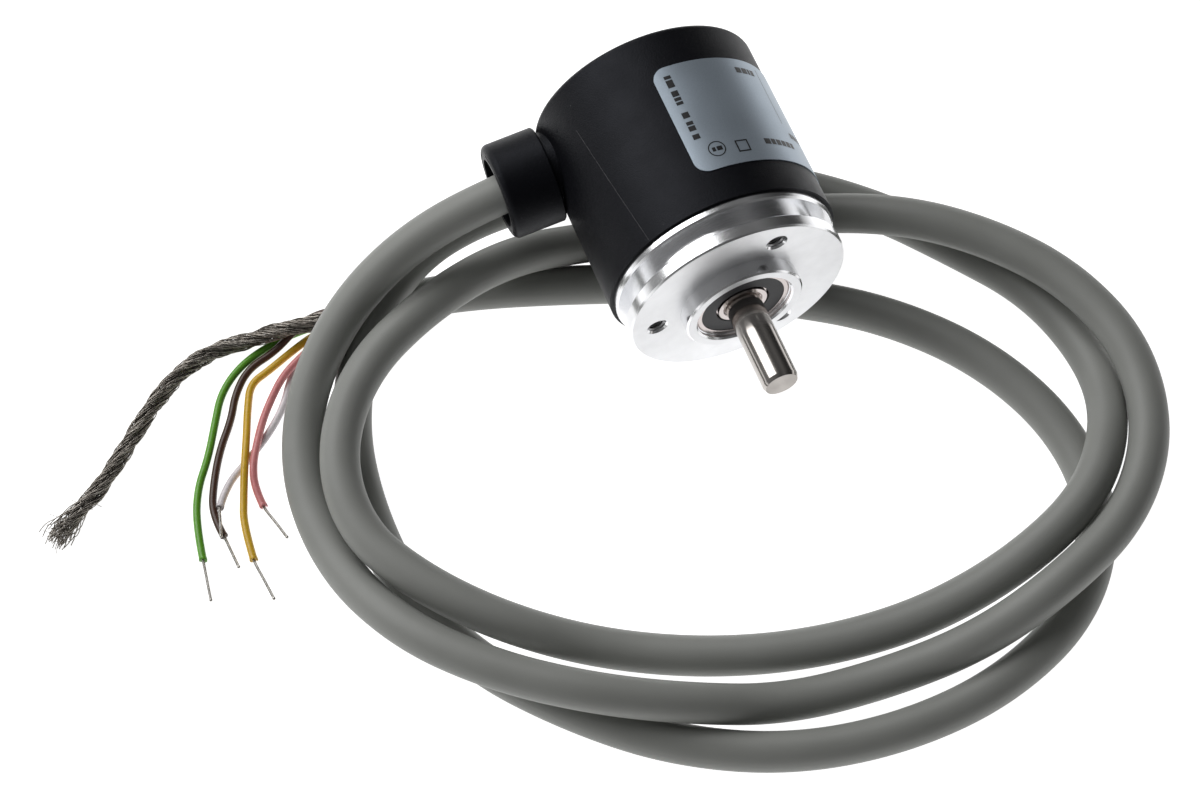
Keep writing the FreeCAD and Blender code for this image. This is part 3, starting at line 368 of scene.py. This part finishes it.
def tinned_copper(name, dull, bright):
    """Tinned wire: duller and brighter patches."""
    made = new_material(name, bright, 0.32, 1.0)
    tree = made.node_tree
    patches = noise_of(tree, coordinates(tree), 1600, 4, 0.6)
    drive(made, "Base Color", ramp(tree, patches, [(0.3, dull), (0.7, bright)]))
    drive(made, "Roughness", ramp(tree, patches, [(0.3, 0.26), (0.7, 0.42)]))
    add_bump(made, [(patches, 0.3, 0.02 * MM)])
    return made


def clear_sealant():
    """Glossy, slightly blue, lumpy sealant."""
    made = new_material("clear_sealant", (0.16, 0.18, 0.20), 0.08, Specular_IOR_Level=0.9)
    tree = made.node_tree
    lumps = noise_of(tree, coordinates(tree), 700, 3, 0.55)
    drive(made, "Base Color", ramp(tree, lumps, [(0.35, (0.06, 0.07, 0.08)), (0.65, (0.42, 0.48, 0.52))]))
    add_bump(made, [(lumps, 1.0, 0.5 * MM)])
    return made


def plain_plastic(name, colour, roughness=0.45, metallic=0.0):
    """A small or hidden part's finish: the base colour with a fine grain."""
    made = new_material(name, colour, roughness, metallic)
    tree = made.node_tree
    grain = noise_of(tree, coordinates(tree), 3500, 3)
    darker = tuple(value * 0.85 for value in colour)
    drive(made, "Base Color", ramp(tree, grain, [(0.3, darker), (0.7, colour)]))
    add_bump(made, [(grain, 0.2, 0.03 * MM)])
    return made


def table_surface():
    """Pale matt table, lit from below: brightest under the encoder, dimmer further out."""
    made = new_material("pale_table", (0.5, 0.5, 0.5), 0.6)
    tree = made.node_tree
    tree.nodes["Principled BSDF"].inputs["Emission Color"].default_value = (1, 1, 1, 1)
    away = add_node(tree, "ShaderNodeVectorMath", operation="LENGTH")
    tree.links.new(coordinates(tree), away.inputs[0])
    glow = ramp(tree, away.outputs["Value"], [(0.0, 1.0), (0.17, 1.0), (0.30, 0.45), (1.0, 0.30)])
    drive(made, "Emission Strength", glow)
    return made


FINISHES = {
    "housing_black": moulded_black("housing_black", (0.0030, 0.0031, 0.0042), 0.42),
    "turned_aluminium": turned_metal(
        "turned_aluminium", (0.88, 0.885, 0.90), 0.17, 0.09, 0.0025, 0.5, satin_faces=(0, -2.7),
    ),
    "ground_steel": turned_metal(
        "ground_steel", (0.50, 0.47, 0.445), 0.13, 0.05, 0.002, 0.4, satin_faces=(-17.4,),
    ),
    "bearing_steel": turned_metal("bearing_steel", (0.62, 0.565, 0.55), 0.20, 0.06, 0.002, 0.4),
    "bearing_balls": plain_plastic("bearing_balls", (0.60, 0.60, 0.60), 0.12, 1.0),
    "cage_polymer": plain_plastic("cage_polymer", (0.50, 0.44, 0.32)),
    "seal_rubber": seal_rubber(),
    "spring_steel": plain_plastic("spring_steel", (0.35, 0.34, 0.33), 0.3, 1.0),
    "brass": plain_plastic("brass", (0.62, 0.46, 0.20), 0.28, 1.0),
    "disc_glass": plain_plastic("disc_glass", (0.60, 0.66, 0.66), 0.08),
    "lamp_resin": plain_plastic("lamp_resin", (0.65, 0.66, 0.68), 0.12),
    "screw_steel": plain_plastic("screw_steel", (0.55, 0.55, 0.56), 0.3, 1.0),
    "chip_black": plain_plastic("chip_black", (0.02, 0.02, 0.02), 0.5),
    "board_green": plain_plastic("board_green", (0.02, 0.16, 0.06), 0.35),
    "connector_white": plain_plastic("connector_white", (0.75, 0.74, 0.70), 0.4),
    "clear_sealant": clear_sealant(),
    "label_silver": label_film(),
    "label_ink": plain_plastic("label_ink", (0.012, 0.012, 0.014), 0.4),
    "seam_grey": plain_plastic("seam_grey", (0.06, 0.06, 0.065), 0.5),
    "jacket_grey": cable_jacket(),
    "tinned_copper": tinned_copper("tinned_copper", (0.36, 0.345, 0.32), (0.62, 0.60, 0.57)),
    "braid_wire": tinned_copper("braid_wire", (0.12, 0.105, 0.09), (0.46, 0.43, 0.39)),
    # The threads are the flange's aluminium darkened to grey: painted shade inside the holes.
    "thread_metal_painted_shade": turned_metal("thread_metal_painted_shade", (0.34, 0.34, 0.35), 0.3, 0.09, 0.002, 0.3),
    "core_green_pvc": core_plastic("core_green_pvc", (0.115, 0.36, 0.018)),
    "core_brown_pvc": core_plastic("core_brown_pvc", (0.060, 0.024, 0.013)),
    "core_white_pvc": core_plastic("core_white_pvc", (0.74, 0.69, 0.71)),
    "core_yellow_pvc": core_plastic("core_yellow_pvc", (0.66, 0.40, 0.015)),
    "core_pink_pvc": core_plastic("core_pink_pvc", (0.66, 0.23, 0.23)),
}


def finish_cad_nodes():
    """Every CAD node gets the finish of its material slot in the record."""
    for entry in frame["record"]["subparts"]:
        mesh = nodes[entry["node"]].data
        mesh.materials.clear()
        mesh.materials.append(FINISHES[entry["material_slot"]])


# --- making pieces -----------------------------------------------------------------------------------
def link(piece, finish):
    """Put a piece in the scene, on the body that stands still, with a finish."""
    bpy.context.scene.collection.objects.link(piece)
    piece.data.materials.append(FINISHES[finish])
    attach(piece, "encoder_body")
    return piece


def spline_curve(name, points):
    """An open NURBS spline with the route's points as its control points."""
    curve = bpy.data.curves.new(name, "CURVE")
    curve.dimensions = "3D"
    spline = curve.splines.new("NURBS")
    spline.points.add(len(points) - 1)
    for target, point in zip(spline.points, points):
        target.co = (*point, 1)
    spline.order_u = 3
    spline.use_endpoint_u = True
    curve.resolution_u = 16
    return curve


def round_cord(name, points, radius, slot):
    """A cord as a bevelled curve."""
    curve = spline_curve(name, points)
    curve.bevel_depth = radius
    curve.bevel_resolution = 8
    curve.use_fill_caps = True
    return link(bpy.data.objects.new(name, curve), slot)


def spline_path(points):
    """The points along a route's smooth spline, as Blender works them out."""
    bare = bpy.data.objects.new("bare_line", spline_curve("bare_line", points))
    mesh = bpy.data.meshes.new_from_object(bare)
    line = [vertex.co.copy() for vertex in mesh.vertices]
    bpy.data.curves.remove(bare.data)
    bpy.data.meshes.remove(mesh)
    return line


def evenly(line, count):
    """The same line with this many points, evenly spaced."""
    lengths = [0.0]
    for before, after in zip(line, line[1:]):
        lengths.append(lengths[-1] + (after - before).length)
    result = []
    index = 0
    for step in range(count):
        wanted = lengths[-1] * step / (count - 1)
        while index < len(line) - 2 and lengths[index + 1] < wanted:
            index += 1
        span = max(lengths[index + 1] - lengths[index], 1e-9)
        result.append(line[index].lerp(line[index + 1], min(1.0, (wanted - lengths[index]) / span)))
    return result


def cross_frames(line):
    """Two directions across the line at each point, carried along without twist."""
    frames = []
    side = None
    for index, point in enumerate(line):
        ahead = line[min(index + 1, len(line) - 1)] - line[max(index - 1, 0)]
        ahead.normalize()
        if side is None:
            side = ahead.cross(UP if abs(ahead.z) < 0.9 else SHAFT_AXIS)
        side = (side - ahead * side.dot(ahead)).normalized()
        frames.append((side.copy(), ahead.cross(side).normalized()))
    return frames


def bridge_rings(mesh, rings):
    """Join each closed ring of vertices to the next with faces."""
    for lower, upper in zip(rings, rings[1:]):
        for step in range(len(lower)):
            beside = (step + 1) % len(lower)
            mesh.faces.new((lower[step], lower[beside], upper[beside], upper[step]))


def add_tube(mesh, line, radii, sides):
    """Add a closed tube along a line to a bmesh; radii is one number or one for each point."""
    if not isinstance(radii, (list, tuple)):
        radii = [radii] * len(line)
    rings = []
    for point, (across, over), radius in zip(line, cross_frames(line), radii):
        turned = []
        for step in range(sides):
            angle = 2 * math.pi * step / sides
            out = across * math.cos(angle) + over * math.sin(angle)
            turned.append(mesh.verts.new(point + out * radius))
        rings.append(turned)
    bridge_rings(mesh, rings)
    mesh.faces.new(list(reversed(rings[0])))
    mesh.faces.new(rings[-1])


def mesh_piece(name, mesh, finish, smooth=True):
    """Turn a bmesh into a piece."""
    bmesh.ops.recalc_face_normals(mesh, faces=mesh.faces)
    data = bpy.data.meshes.new(name)
    mesh.to_mesh(data)
    mesh.free()
    for polygon in data.polygons:
        polygon.use_smooth = smooth
    return link(bpy.data.objects.new(name, data), finish)


# --- camera ------------------------------------------------------------------------------------------
def make_camera():
    """A long lens, high over the front of the encoder and a little to its left."""
    camera = bpy.data.objects.new("camera", bpy.data.cameras.new("camera"))
    bpy.context.scene.collection.objects.link(camera)
    right = Vector((0.92342, -0.37854, -0.06325))
    up = Vector((0.36510, 0.81560, 0.44890))
    back = right.cross(up)
    turn = Matrix((right, up, back)).transposed().to_4x4()
    camera.matrix_world = Matrix.Translation((-0.11323, -0.32599, 0.64705)) @ turn
    camera.data.lens = 138
    camera.data.sensor_width = 36
    camera.data.clip_start = 0.01
    camera.data.clip_end = 20
    bpy.context.scene.camera = camera


# --- cable, cores and braid --------------------------------------------------------------------------
def make_cable():
    """The jacketed cable, from the outlet to its cut end."""
    cable = round_cord("cable_jacket", CABLE_ROUTE, CABLE_R, "jacket_grey")
    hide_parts("cable")


def strand_lines(line, count, orbit, turns):
    """Lines that twist round a line, as the wires of a strand do."""
    frames = cross_frames(line)
    strands = []
    for index in range(count):
        start = 2 * math.pi * index / count
        strand = []
        for step, (point, (across, over)) in enumerate(zip(line, frames)):
            angle = start + 2 * math.pi * turns * step / (len(line) - 1)
            strand.append(point + (across * math.cos(angle) + over * math.sin(angle)) * orbit)
        strands.append(strand)
    return strands


def make_conductor(colour):
    """The twisted tinned strands that a core's insulation leaves bare, with a blob of solder at the tip."""
    start = Vector(CORE_ROUTES[colour][-1])
    before = Vector(CORE_ROUTES[colour][-2])
    tip = Vector(CONDUCTOR_TIPS[colour])
    ahead = (start - before).normalized()
    reach = (tip - start).length
    shaped = [start - ahead * 0.3 * MM, start + ahead * reach * 0.1, start.lerp(tip, 0.5), tip]
    line = evenly(spline_path(shaped), 40)
    mesh = bmesh.new()
    for strand in strand_lines(line, 6, CONDUCTOR_R - STRAND_R, reach / STRAND_LAY):
        add_tube(mesh, strand, STRAND_R, 6)
    add_tube(mesh, line, STRAND_R, 6)
    onward = (line[-1] - line[-3]).normalized()
    blob = [line[-1] + onward * offset * MM for offset in (-0.35, -0.2, 0, 0.15, 0.22)]
    add_tube(mesh, blob, [0.2 * MM, 0.27 * MM, 0.29 * MM, 0.2 * MM, 0.06 * MM], 10)
    piece = mesh_piece("strands_" + colour, mesh, "tinned_copper")
    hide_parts("conductor_" + colour)
    return piece


def make_cut_rim(colour):
    """The torn rim where a core's insulation was pulled off."""
    end = Vector(CORE_ROUTES[colour][-1])
    ahead = (end - Vector(CORE_ROUTES[colour][-2])).normalized()
    across = ahead.cross(UP).normalized()
    over = across.cross(ahead)
    chance = random.Random(colour)
    mesh = bmesh.new()
    rings = []
    sides = 20
    # Along the core, out from its axis, and how ragged, all in millimetres.
    outline = ((-0.6, 0.62, 0), (-0.35, 0.68, 0), (0.0, 0.70, 0.05), (0.16, 0.66, 0.16), (0.0, 0.40, 0.05))
    for offset, radius, ragged in outline:
        ring = []
        for step in range(sides):
            angle = 2 * math.pi * step / sides
            out = across * math.cos(angle) + over * math.sin(angle)
            wave = chance.uniform(-ragged, ragged)
            ring.append(mesh.verts.new(end + (ahead * (offset + wave) + out * (radius + 0.3 * wave)) * MM))
        rings.append(ring)
    bridge_rings(mesh, rings)
    slot = "core_%s_pvc" % colour
    return mesh_piece("cut_rim_" + colour, mesh, slot)


def make_cores():
    """The five cores, each with its torn rim and bare strands."""
    for colour, route in CORE_ROUTES.items():
        core = round_cord("insulation_" + colour, route, CORE_R, "core_%s_pvc" % colour)
        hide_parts("core_" + colour)
        make_conductor(colour)
        make_cut_rim(colour)


def braid_wire(line, frames, bundle, wire, chance):
    """The line of one wire: it winds round its bundle, the bundle winds round the braid, and it frays."""
    start = 2 * math.pi * bundle / BUNDLES
    orbit = BUNDLE_R * math.sqrt((wire + 0.5) / WIRES_IN_BUNDLE)
    spin = 2.4 * wire + chance.uniform(-0.4, 0.4)
    splay = Vector((chance.uniform(-1, 1), chance.uniform(-1, 1), chance.uniform(-0.6, 1)))
    strand = []
    for step, (point, (across, over)) in enumerate(zip(line, frames)):
        along = step / (len(line) - 1)
        angle = start + 2 * math.pi * BUNDLE_TURNS * along
        centre = (across * math.cos(angle) + over * math.sin(angle)) * BUNDLE_ORBIT
        turned = angle + spin + 2 * math.pi * WIRE_TURNS * along
        offset = (across * math.cos(turned) + over * math.sin(turned)) * orbit
        fray = max(0.0, (along - FRAY_START) / (1 - FRAY_START)) ** 1.4
        shake = noise.noise_vector(point * 900 + Vector((bundle, wire, 0))) * 0.12 * MM
        strand.append(point + (centre + offset) * (1 + 0.55 * fray) + splay * fray * FRAY_REACH + shake)
    keep = len(strand) - chance.choice((0, 0, 0, 1, 2, 4))
    return above_table(strand[:keep], BRAID_WIRE_R)


def above_table(line, clearance):
    """The same line, with nothing nearer the table than this."""
    return [Vector((point.x, point.y, max(point.z, TABLE_Z + clearance))) for point in line]


def make_braid():
    """The shield, drawn together and twisted: bundles of fine wires that fray at the free end."""
    line = evenly(spline_path(BRAID_ROUTE), 240)
    frames = cross_frames(line)
    chance = random.Random(7)
    noise.seed_set(7)
    mesh = bmesh.new()
    for bundle in range(BUNDLES):
        for wire in range(WIRES_IN_BUNDLE):
            add_tube(mesh, braid_wire(line, frames, bundle, wire, chance), BRAID_WIRE_R, 5)
    add_wisps(mesh, line, chance)
    piece = mesh_piece("braid_pigtail", mesh, "braid_wire")
    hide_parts("shield_braid")


def add_wisps(mesh, line, chance):
    """Single loose wires that stand off near the braid's free end."""
    for wisp in range(WISPS):
        foot = line[len(line) - 1 - chance.randrange(0, 34)]
        lean = Vector((chance.uniform(-1.2, 0.5), chance.uniform(-1.2, 0.8), chance.uniform(0.2, 1)))
        lean.normalize()
        droop = Vector((chance.uniform(-0.5, 0.5), chance.uniform(-0.5, 0.5), -0.3))
        reach = chance.uniform(1.6, 3.0) * MM
        shares = (0.3, 0.5, 0.65, 0.8, 0.9, 1.0)
        hair = [foot + (lean * share + droop * share * share) * reach for share in shares]
        add_tube(mesh, above_table(hair, 0.05 * MM), WISP_R, 5)


# --- encoder details ---------------------------------------------------------------------------------
def make_threads():
    """The turns of the thread in each flange hole, standing in from the hole's wall; their dark grey is
    painted shade inside the holes.
    """
    mesh = bmesh.new()
    per_turn = 40
    turns = round(THREAD_LENGTH / THREAD_PITCH)
    # Out from the hole's axis, and along it as a share of the pitch.
    profile = (
        (THREAD_WALL_R, -0.46), (THREAD_CREST_R, -0.07), (THREAD_CREST_R, 0.07), (THREAD_WALL_R, 0.46),
    )
    for degrees in HOLE_ANGLES:
        angle = math.radians(degrees)
        centre = Vector((math.cos(angle), 0, math.sin(angle))) * HOLE_PCD_R
        rows = []
        for step in range(turns * per_turn + 1):
            turn = 2 * math.pi * step / per_turn
            out = Vector((math.cos(turn), 0, math.sin(turn)))
            depth = THREAD_START_Y + THREAD_PITCH * step / per_turn
            rows.append([
                mesh.verts.new(centre + out * radius + SHAFT_AXIS * (depth + THREAD_PITCH * share))
                for radius, share in profile
            ])
        for lower, upper in zip(rows, rows[1:]):
            for index in range(len(profile) - 1):
                mesh.faces.new((lower[index], lower[index + 1], upper[index + 1], upper[index]))
        mesh.faces.new(list(reversed(rows[0])))
        mesh.faces.new(rows[-1])
    mesh_piece("hole_threads", mesh, "thread_metal_painted_shade", smooth=False)


def housing_radius(y):
    """The housing's outer radius at this depth; it has a slight draft."""
    share = (y - HOUSING_FRONT_Y) / (HOUSING_END_Y - HOUSING_FRONT_Y)
    return HOUSING_FRONT_R + (HOUSING_REAR_R - HOUSING_FRONT_R) * share


def on_housing(degrees, y, proud):
    """A point on the housing's side, turned from +Z towards +X."""
    angle = math.radians(degrees)
    radius = housing_radius(y) + proud
    return Vector((radius * math.sin(angle), y, radius * math.cos(angle)))


def make_seam():
    """The fine mould line that runs along the housing, with small burrs."""
    chance = random.Random(3)
    mesh = bmesh.new()
    start = HOUSING_FRONT_Y + 0.15 * MM
    count = 90
    line = []
    radii = []
    for step in range(count):
        y = start + (SEAM_END_Y - start) * step / (count - 1)
        wander = 0.12 * noise.noise(Vector((y * 900, 0, 0)))
        place = SEAM_FRONT_DEG + (SEAM_REAR_DEG - SEAM_FRONT_DEG) * step / (count - 1)
        line.append(on_housing(place + wander, y, -0.01 * MM))
        radii.append(MM * (0.022 + 0.02 * chance.random()))
    add_tube(mesh, line, radii, 6)
    mesh_piece("mould_seam", mesh, "seam_grey")


def label_point(across, along):
    """A point just proud of the label: across is round the housing from its top, along is a depth, in mm."""
    radius = housing_radius(along * MM)
    return on_housing(math.degrees(across * MM / radius), along * MM, LABEL_THICK + INK_THICK)


def add_bar(mesh, across, along, width, height):
    """A printed bar, centred here, that follows the label's curve."""
    steps = max(1, round(width / 0.7))
    rows = []
    for step in range(steps + 1):
        place = across - width / 2 + width * step / steps
        low = mesh.verts.new(label_point(place, along - height / 2))
        high = mesh.verts.new(label_point(place, along + height / 2))
        rows.append((low, high))
    for lower, upper in zip(rows, rows[1:]):
        mesh.faces.new((lower[0], lower[1], upper[1], upper[0]))


def add_dashes(mesh, start, end, fixed, height, lengthwise, chance):
    """A row of short bars where a line of print would be; lengthwise rows run along the housing."""
    place = start
    while place < end - 0.5:
        length = min(chance.uniform(0.5, 1.5), end - place)
        middle = place + length / 2
        if lengthwise:
            add_bar(mesh, fixed, middle, height, length)
        else:
            add_bar(mesh, middle, fixed, length, height)
        place += length + chance.choice((0.22, 0.22, 0.22, 0.7))


def add_circle(mesh, across, along, radius, thick):
    """A printed ring."""
    sides = 40
    rows = []
    for step in range(sides):
        angle = 2 * math.pi * step / sides
        rows.append([
            mesh.verts.new(label_point(across + reach * math.cos(angle), along + reach * math.sin(angle)))
            for reach in (radius - thick, radius)
        ])
    for index, lower in enumerate(rows):
        upper = rows[(index + 1) % sides]
        mesh.faces.new((lower[0], lower[1], upper[1], upper[0]))


def make_label_print():
    """Dark ink in plain shapes: rows of bars, a ring, a square and one long thin rule."""
    chance = random.Random(11)
    mesh = bmesh.new()
    add_dashes(mesh, 18.5, 24.2, 1.6, 1.15, True, chance)
    add_dashes(mesh, 25.4, 31.2, 1.6, 1.15, True, chance)
    add_circle(mesh, 3.8, 15.8, 1.45, 0.2)
    add_dashes(mesh, 3.0, 4.7, 15.8, 0.8, False, chance)
    for side in (-1, 1):
        add_bar(mesh, 8.2, 15.4 + side, 2.2, 0.25)
        add_bar(mesh, 8.2 + side, 15.4, 0.25, 2.2)
    add_dashes(mesh, 12.7, 20.5, 16.0, 1.1, False, chance)
    add_dashes(mesh, 14.2, 19.2, 30.6, 1.1, False, chance)
    add_bar(mesh, 20.1, 26.3, 0.14, 11.0)
    add_dashes(mesh, 20.8, 24.5, 18.6, 1.1, False, chance)
    mesh_piece("label_print", mesh, "label_ink", smooth=False)


# --- light and table ---------------------------------------------------------------------------------
def make_light(name, azimuth, elevation, distance, size, power):
    """A soft box that faces the encoder; azimuth turns from +Y towards +X."""
    light = bpy.data.objects.new(name, bpy.data.lights.new(name, "AREA"))
    bpy.context.scene.collection.objects.link(light)
    turn = math.radians(azimuth)
    rise = math.radians(elevation)
    away = Vector((math.sin(turn) * math.cos(rise), math.cos(turn) * math.cos(rise), math.sin(rise)))
    light.location = away * distance
    light.rotation_mode = "QUATERNION"
    light.rotation_quaternion = away.to_track_quat("Z", "Y")
    light.data.shape = "RECTANGLE"
    light.data.size, light.data.size_y = size
    light.data.energy = power
    light.visible_camera = False


def make_studio():
    """The table, one large soft box and a dim room."""
    mesh = bmesh.new()
    bmesh.ops.create_circle(mesh, cap_ends=True, segments=96, radius=TABLE_R)
    data = bpy.data.meshes.new("table")
    mesh.to_mesh(data)
    mesh.free()
    data.materials.append(table_surface())
    table = bpy.data.objects.new("table", data)
    table.location.z = TABLE_Z - 0.02 * MM
    bpy.context.scene.collection.objects.link(table)
    make_world()
    make_light("soft_box", azimuth=-30, elevation=43, distance=1.0, size=(1.15, 0.71), power=9.5)
    bpy.context.scene.view_settings.view_transform = "Standard"


def make_world():
    """A dim room, darker on the right than on the left."""
    world = bpy.data.worlds.new("studio")
    bpy.context.scene.world = world
    world.use_nodes = True
    tree = world.node_tree
    sky = add_node(tree, "ShaderNodeTexCoord")
    split = add_node(tree, "ShaderNodeSeparateXYZ")
    tree.links.new(sky.outputs["Generated"], split.inputs["Vector"])
    place = add_node(tree, "ShaderNodeMapRange", {"From Min": -1.0, "From Max": 1.0})
    tree.links.new(split.outputs["X"], place.inputs["Value"])
    greys = [(0.0, 0.24), (0.35, 0.16), (0.60, 0.08), (0.78, 0.14), (0.92, 0.04)]
    colour = ramp(tree, place.outputs["Result"], greys)
    tree.links.new(colour, tree.nodes["Background"].inputs["Color"])


make_camera()
make_cable()
make_cores()
make_braid()
finish_cad_nodes()
make_threads()
make_seam()
make_label_print()
make_studio()
